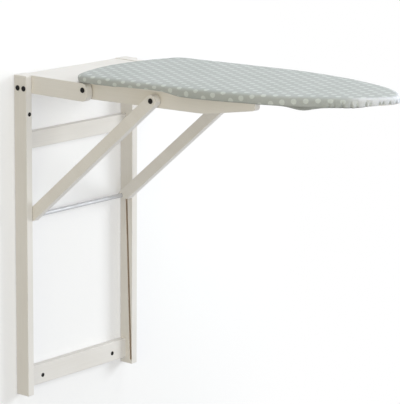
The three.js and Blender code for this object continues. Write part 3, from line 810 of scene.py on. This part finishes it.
def knit_cover():
    """All points and faces of the cover: one closed shell over the panel's edge and the pad."""
    shell, rim = ClothShell(), cover_rim()
    turns, count = outward_turns(rim), len(rim)
    for ring in RINGS:
        for rim_point, out in zip(rim, turns):
            spot = rim_point[0]
            at, level = ring_point(ring, rim_point, out)
            shell.add(
                on_board(at[0], at[1], level), cloth_place(ring, spot, out, at), ring[3],
                nose_painted_highlight(ring, spot[1]), shaded_fold(ring, rim_point))
    for ring in range(len(RINGS) - 1):
        here, there = ring * count, (ring + 1) * count
        for i in range(count):
            j = (i + 1) % count
            shell.faces.append((here + i, here + j, there + j, there + i))
    shell.close_middle(rim, 0, TOP_MIDDLE, 0.9, True)
    shell.close_middle(rim, len(RINGS) - 1, INNER_MIDDLE, 1.0, False)
    return shell


def make_cover():
    """The cover as one piece, with its cloth map, its painted highlight and shade, and how firmly
    it is held.
    """
    shell = knit_cover()
    mesh = bpy.data.meshes.new("padded_cover")
    mesh.from_pydata(shell.points, [], shell.faces)
    mesh.validate()
    layer = mesh.uv_layers.new(name="cloth")
    for loop in mesh.loops:
        layer.data[loop.index].uv = shell.cloth[loop.vertex_index]
    for name, amounts in shell.tones.items():
        tone = mesh.attributes.new(name, "FLOAT", "POINT")
        for index, amount in enumerate(amounts):
            tone.data[index].value = amount
    shaper = bmesh.new()
    shaper.from_mesh(mesh)
    bmesh.ops.recalc_face_normals(shaper, faces=shaper.faces)
    shaper.to_mesh(mesh)
    shaper.free()
    for face in mesh.polygons:
        face.use_smooth = True
    cover = bpy.data.objects.new("padded_cover", mesh)
    bpy.context.scene.collection.objects.link(cover)
    mesh.materials.append(sage_cotton)
    held = cover.vertex_groups.new(name="held")
    for index, firm in enumerate(shell.hold):
        held.add([index], firm, "REPLACE")
    return cover


# how many frames the cloth has to swell in, and how far it may
SWELL_STEPS, SWELL_LIMIT = 20, 3 * MM


def puff(cover):
    """Lets the padded cloth swell a little, no further than the limit, and keeps the result."""
    start = [v.co.copy() for v in cover.data.vertices]
    cloth = cover.modifiers.new("swell", "CLOTH")
    cloth.settings.quality = 6
    cloth.settings.mass = 0.25
    cloth.settings.tension_stiffness = 12
    cloth.settings.compression_stiffness = 12
    cloth.settings.shear_stiffness = 6
    cloth.settings.bending_stiffness = 0.6
    cloth.settings.vertex_group_mass = "held"
    cloth.settings.pin_stiffness = 4
    cloth.settings.use_pressure = True
    cloth.settings.uniform_pressure_force = 3.0
    cloth.settings.effector_weights.gravity = 0
    cloth.collision_settings.use_collision = False
    cloth.point_cache.frame_start = 1
    cloth.point_cache.frame_end = SWELL_STEPS
    for step in range(1, SWELL_STEPS + 1):
        bpy.context.scene.frame_set(step)
    moved = cover.evaluated_get(bpy.context.evaluated_depsgraph_get())
    spots = [v.co.copy() for v in moved.data.vertices]
    cover.modifiers.remove(cloth)
    bpy.context.scene.frame_set(1)
    for vertex, before, after in zip(cover.data.vertices, start, spots):
        step = after - before
        if step.length > SWELL_LIMIT:
            step = step.normalized() * SWELL_LIMIT
        vertex.co = before + step


cover = make_cover()
puff(cover)
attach(cover, "board")
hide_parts("board_cover", "board_pad")

# ---------- room: wall, floor, light ----------

# how far from the part the wall and floor start and finish turning plain white, in metres
WHITE_OUT = (0.45, 1.1)


def stage_plane(name, corners, colour, own_white):
    """A plane that only the camera sees: own_white is its share of flat white near the part."""
    mesh = bpy.data.meshes.new(name)
    mesh.from_pydata(corners, [], [(0, 1, 2, 3)])
    plane = bpy.data.objects.new(name, mesh)
    bpy.context.scene.collection.objects.link(plane)
    material = bpy.data.materials.new(name)
    material.use_nodes = True
    tree = material.node_tree
    w = Wiring(tree)
    tree.nodes.remove(tree.nodes["Principled BSDF"])
    lit = w.add("ShaderNodeBsdfDiffuse", {"Color": colour})
    white = w.add("ShaderNodeEmission", {"Color": (1, 1, 1, 1), "Strength": 1.0})
    spot = w.add("ShaderNodeNewGeometry").outputs["Position"]
    from_frame = w.vector("LENGTH", w.vector("MULTIPLY", spot, (1.0, 1.0, 0.6)))
    share = w.ramp(from_frame, *WHITE_OUT, own_white, 1.0)
    surface = w.add("ShaderNodeMixShader", {0: share, 1: lit.outputs[0], 2: white.outputs[0]})
    clear = w.add("ShaderNodeBsdfTransparent")
    path = w.add("ShaderNodeLightPath")
    behind = w.add("ShaderNodeNewGeometry").outputs["Backfacing"]
    seen = w.math("MULTIPLY", path.outputs["Is Camera Ray"], w.math("SUBTRACT", 1.0, behind))
    joined = w.add("ShaderNodeMixShader", {0: seen, 1: clear.outputs[0], 2: surface.outputs[0]})
    w.feed(tree.nodes["Material Output"].inputs["Surface"], joined.outputs[0])
    mesh.materials.append(material)
    return plane


# the wall's place in y and the floor's height, in metres
WALL_Y, FLOOR_Z = 0.0015, -0.62
stage_plane(
    "wall", [(-6, WALL_Y, -3), (6, WALL_Y, -3), (6, WALL_Y, 5), (-6, WALL_Y, 5)],
    linear(254, 254, 254), 0.2)
stage_plane(
    "floor", [(-6, -7, FLOOR_Z), (6, -7, FLOOR_Z), (6, 1, FLOOR_Z), (-6, 1, FLOOR_Z)],
    linear(250, 250, 250), 0.3)


def softbox(name, spot, target, size, power, tint):
    """A square lamp at spot, turned to target: its side in metres and its power in watts."""
    data = bpy.data.lights.new(name, "AREA")
    data.shape = "SQUARE"
    data.size = size
    data.energy = power
    data.color = tint
    lamp = bpy.data.objects.new(name, data)
    lamp.location = spot
    lamp.rotation_euler = (Vector(target) - Vector(spot)).to_track_quat("-Z", "Y").to_euler()
    bpy.context.scene.collection.objects.link(lamp)


softbox("window side", (4.0, -3.0, 1.8), (0, -0.3, 0.45), 2.0, 132, (0.92, 0.96, 1.0))
softbox("front", (-0.6, -4.2, 0.9), (0, -0.4, 0.5), 2.0, 30, (0.93, 0.97, 1.0))
softbox("overhead", (0.3, -0.9, 4.2), (0, -0.6, 0.8), 3.0, 66, (0.94, 0.975, 1.0))
softbox("room side", (-4.5, -1.6, 1.2), (0, -0.4, 0.5), 2.5, 38, (1.0, 0.865, 0.47))

AMBIENT = 0.47


def light_world():
    """An even fill, and plain white where the room itself is seen or mirrored."""
    world = bpy.data.worlds.new("plain room")
    world.use_nodes = True
    bpy.context.scene.world = world
    w = Wiring(world.node_tree)
    ambient = world.node_tree.nodes["Background"]
    ambient.inputs["Color"].default_value = (1.0, 1.0, 1.0, 1)
    ambient.inputs["Strength"].default_value = AMBIENT
    white = w.add("ShaderNodeBackground", {"Color": (1, 1, 1, 1), "Strength": 1.0})
    path = w.add("ShaderNodeLightPath").outputs
    mirrored = w.math("MAXIMUM", path["Is Glossy Ray"], path["Is Transmission Ray"])
    shown = w.math("MAXIMUM", path["Is Camera Ray"], mirrored)
    joined = w.add("ShaderNodeMixShader", {0: shown, 1: ambient.outputs[0], 2: white.outputs[0]})
    w.feed(world.node_tree.nodes["World Output"].inputs["Surface"], joined.outputs[0])


light_world()
bpy.context.scene.view_settings.view_transform = "Standard"
